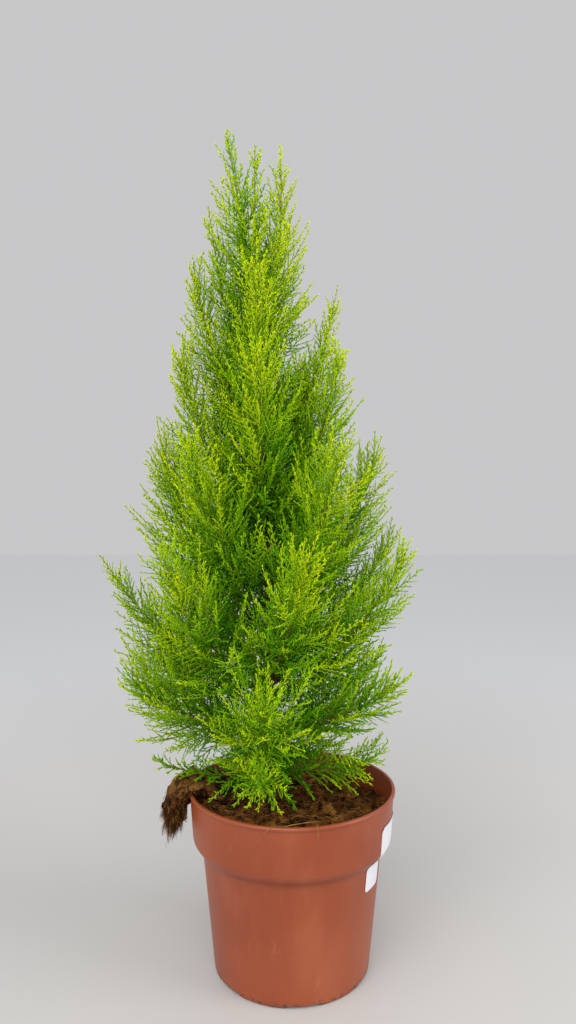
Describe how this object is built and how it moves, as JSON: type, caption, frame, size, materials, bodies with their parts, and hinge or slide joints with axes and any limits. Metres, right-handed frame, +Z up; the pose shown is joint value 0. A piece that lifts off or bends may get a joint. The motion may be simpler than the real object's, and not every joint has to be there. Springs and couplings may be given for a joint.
{
  "type": "potted lemon cypress",
  "caption": "Young upright conifer with feathery lime-yellow foliage, standing in a round terracotta-coloured plastic nursery pot.",
  "frame": {"origin": "centre of the pot's flat underside", "axes": "+Z up along the pot's axis and the plant's height; the picture looks along +Y with +X to its right"},
  "size_m": [0.3247, 0.2952, 0.832],
  "materials": {
    "terracotta_plastic": "satin thermoformed plastic",
    "coir_compost": "loose fibrous compost",
    "bark": "thin flaking bark",
    "foliage": "scale-like needles"
  },
  "bodies": {
    "root": {"bough_low_1": "bark", "bough_low_2": "bark", "bough_low_3": "bark", "bough_low_4": "bark", "bough_low_5": "bark", "bough_low_6": "bark", "bough_middle_1": "bark", "bough_middle_2": "bark", "bough_middle_3": "bark", "bough_middle_4": "bark", "bough_middle_5": "bark", "bough_middle_6": "bark", "bough_middle_7": "bark", "bough_upper_1": "bark", "bough_upper_2": "bark", "bough_upper_3": "bark", "bough_upper_4": "bark", "bough_upper_5": "bark", "coir_tuft": "coir_compost", "compost": "coir_compost", "plume_leader": "foliage", "plume_low_1": "foliage", "plume_low_2": "foliage", "plume_low_3": "foliage", "plume_low_4": "foliage", "plume_low_5": "foliage", "plume_low_6": "foliage", "plume_middle_1": "foliage", "plume_middle_2": "foliage", "plume_middle_3": "foliage", "plume_middle_4": "foliage", "plume_middle_5": "foliage", "plume_middle_6": "foliage", "plume_middle_7": "foliage", "plume_neck_1": "foliage", "plume_neck_2": "foliage", "plume_neck_3": "foliage", "plume_neck_4": "foliage", "plume_shoulder_1": "foliage", "plume_shoulder_2": "foliage", "plume_shoulder_3": "foliage", "plume_shoulder_4": "foliage", "plume_shoulder_5": "foliage", "plume_side_leader_1": "foliage", "plume_side_leader_2": "foliage", "plume_side_leader_3": "foliage", "plume_side_leader_4": "foliage", "plume_skirt_1": "foliage", "plume_skirt_2": "foliage", "plume_skirt_3": "foliage", "plume_skirt_4": "foliage", "plume_skirt_5": "foliage", "plume_upper_1": "foliage", "plume_upper_2": "foliage", "plume_upper_3": "foliage", "plume_upper_4": "foliage", "plume_upper_5": "foliage", "pot": "terracotta_plastic", "trunk": "bark"}
  },
  "joints": []
}
